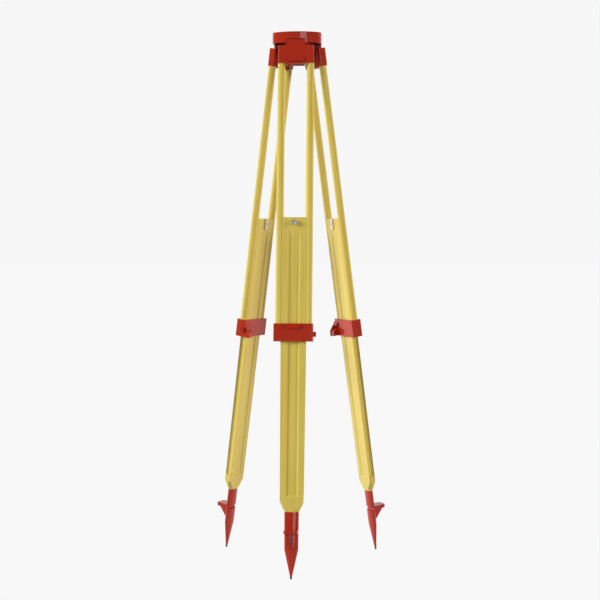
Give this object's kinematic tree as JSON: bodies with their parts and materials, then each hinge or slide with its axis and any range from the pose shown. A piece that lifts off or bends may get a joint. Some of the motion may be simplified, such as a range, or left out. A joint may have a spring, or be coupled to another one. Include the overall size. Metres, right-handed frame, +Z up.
{
  "type": "surveying tripod",
  "caption": "Wooden surveying tripod with a cast triangular head, extending clamped legs, pedal shoes and a sliding fixing screw under the head.",
  "frame": {"origin": "centre of the head's flat top face, on the axis of its round hole", "axes": "+Z up, out of the head's top face; -Y towards the front leg; +X to the right seen from the front"},
  "size_m": [0.5234, 0.4564, 1.573],
  "materials": {
    "red_paint": "gloss red paint on cast aluminium",
    "varnished_wood": "gloss varnish",
    "bright_steel": "satin",
    "dark_steel": "satin",
    "brass": "satin",
    "black_plastic": "matte",
    "bearing_plastic": "matte"
  },
  "bodies": {
    "head": {"head_casting": "red_paint", "arm_pivot_screw": "bright_steel", "front_hinge_bolt": "bright_steel", "front_hinge_nut": "red_paint", "right_hinge_bolt": "bright_steel", "right_hinge_nut": "red_paint", "left_hinge_bolt": "bright_steel", "left_hinge_nut": "red_paint"},
    "screw_arm": {"screw_arm": "bright_steel"},
    "screw_carriage": {"screw_bushing": "brass", "bushing_keeper": "bright_steel"},
    "screw_lift": {"retaining_ring": "dark_steel"},
    "fixing_screw": {"fixing_screw": "bright_steel", "screw_grip": "black_plastic", "plumb_hook": "bright_steel"},
    "front_upper_leg": {"front_hinge_casting": "red_paint", "front_hinge_bushes": "bearing_plastic", "front_rail_left": "varnished_wood", "front_rail_right": "varnished_wood", "front_rail_lock_pins": "red_paint", "front_clamp_casting": "red_paint"},
    "front_lower_leg": {"front_board": "varnished_wood", "front_stop_block": "bearing_plastic", "front_stop_bolt": "bright_steel", "front_shoe": "red_paint", "front_shoe_rivets": "bright_steel", "front_point": "dark_steel"},
    "front_lever": {"front_clamp_lever": "red_paint", "front_clamp_screw": "red_paint"},
    "front_jaw": {"front_clamp_jaw": "bearing_plastic"},
    "right_upper_leg": {"right_hinge_casting": "red_paint", "right_hinge_bushes": "bearing_plastic", "right_rail_left": "varnished_wood", "right_rail_right": "varnished_wood", "right_rail_lock_pins": "red_paint", "right_clamp_casting": "red_paint"},
    "right_lower_leg": {"right_board": "varnished_wood", "right_stop_block": "bearing_plastic", "right_stop_bolt": "bright_steel", "right_shoe": "red_paint", "right_shoe_rivets": "bright_steel", "right_point": "dark_steel"},
    "right_lever": {"right_clamp_lever": "red_paint", "right_clamp_screw": "red_paint"},
    "right_jaw": {"right_clamp_jaw": "bearing_plastic"},
    "left_upper_leg": {"left_hinge_casting": "red_paint", "left_hinge_bushes": "bearing_plastic", "left_rail_left": "varnished_wood", "left_rail_right": "varnished_wood", "left_rail_lock_pins": "red_paint", "left_clamp_casting": "red_paint"},
    "left_lower_leg": {"left_board": "varnished_wood", "left_stop_block": "bearing_plastic", "left_stop_bolt": "bright_steel", "left_shoe": "red_paint", "left_shoe_rivets": "bright_steel", "left_point": "dark_steel"},
    "left_lever": {"left_clamp_lever": "red_paint", "left_clamp_screw": "red_paint"},
    "left_jaw": {"left_clamp_jaw": "bearing_plastic"}
  },
  "joints": [
    {"name": "screw_arm_swing", "type": "hinge", "parent": "head", "child": "screw_arm", "pos_m": [0, 0.052, -0.0235], "axis": [0, 0, 1], "range_deg": [-12, 12]},
    {"name": "screw_carriage_slide", "type": "slide", "parent": "screw_arm", "child": "screw_carriage", "axis": [0, 1, 0], "range_m": [-0.014, 0.014]},
    {"name": "screw_lift_slide", "type": "slide", "parent": "screw_carriage", "child": "screw_lift", "axis": [0, 0, 1], "range_m": [0, 0.016]},
    {"name": "fixing_screw_spin", "type": "hinge", "parent": "screw_lift", "child": "fixing_screw", "pos_m": [0, 0, -0.02], "axis": [0, 0, 1], "continuous": true},
    {"name": "front_leg_hinge", "type": "hinge", "parent": "head", "child": "front_upper_leg", "pos_m": [0, -0.054, -0.037], "axis": [-1, 0, 0], "range_deg": [-7.5, 22]},
    {"name": "front_leg_extension", "type": "slide", "parent": "front_upper_leg", "child": "front_lower_leg", "axis": [0, -0.1392, -0.9903], "range_m": [-0.445, 0.276]},
    {"name": "front_lever_turn", "type": "hinge", "parent": "front_upper_leg", "child": "front_lever", "pos_m": [0.048, -0.16274, -0.8826], "axis": [1, 0, 0], "range_deg": [0, 40]},
    {"name": "front_jaw_press", "type": "slide", "parent": "front_upper_leg", "child": "front_jaw", "axis": [1, 0, 0], "range_m": [0, 0.000185]},
    {"name": "right_leg_hinge", "type": "hinge", "parent": "head", "child": "right_upper_leg", "pos_m": [0.04677, 0.027, -0.037], "axis": [0.5, -0.866, 0], "range_deg": [-7.5, 22]},
    {"name": "right_leg_extension", "type": "slide", "parent": "right_upper_leg", "child": "right_lower_leg", "axis": [0.1205, 0.0696, -0.9903], "range_m": [-0.445, 0.276]},
    {"name": "right_lever_turn", "type": "hinge", "parent": "right_upper_leg", "child": "right_lever", "pos_m": [0.11694, 0.12294, -0.8826], "axis": [-0.5, 0.866, 0], "range_deg": [0, 40]},
    {"name": "right_jaw_press", "type": "slide", "parent": "right_upper_leg", "child": "right_jaw", "axis": [-0.5, 0.866, 0], "range_m": [0, 0.000185]},
    {"name": "left_leg_hinge", "type": "hinge", "parent": "head", "child": "left_upper_leg", "pos_m": [-0.04677, 0.027, -0.037], "axis": [0.5, 0.866, 0], "range_deg": [-7.5, 22]},
    {"name": "left_leg_extension", "type": "slide", "parent": "left_upper_leg", "child": "left_lower_leg", "axis": [-0.1205, 0.0696, -0.9903], "range_m": [-0.445, 0.276]},
    {"name": "left_lever_turn", "type": "hinge", "parent": "left_upper_leg", "child": "left_lever", "pos_m": [-0.16494, 0.0398, -0.8826], "axis": [-0.5, -0.866, 0], "range_deg": [0, 40]},
    {"name": "left_jaw_press", "type": "slide", "parent": "left_upper_leg", "child": "left_jaw", "axis": [-0.5, -0.866, 0], "range_m": [0, 0.000185]}
  ],
  "couplings": [
    {"joint": "front_jaw_press", "follows": "front_lever_turn", "m_per_rad": 0.00025},
    {"joint": "right_jaw_press", "follows": "right_lever_turn", "m_per_rad": 0.00025},
    {"joint": "left_jaw_press", "follows": "left_lever_turn", "m_per_rad": 0.00025}
  ]
}
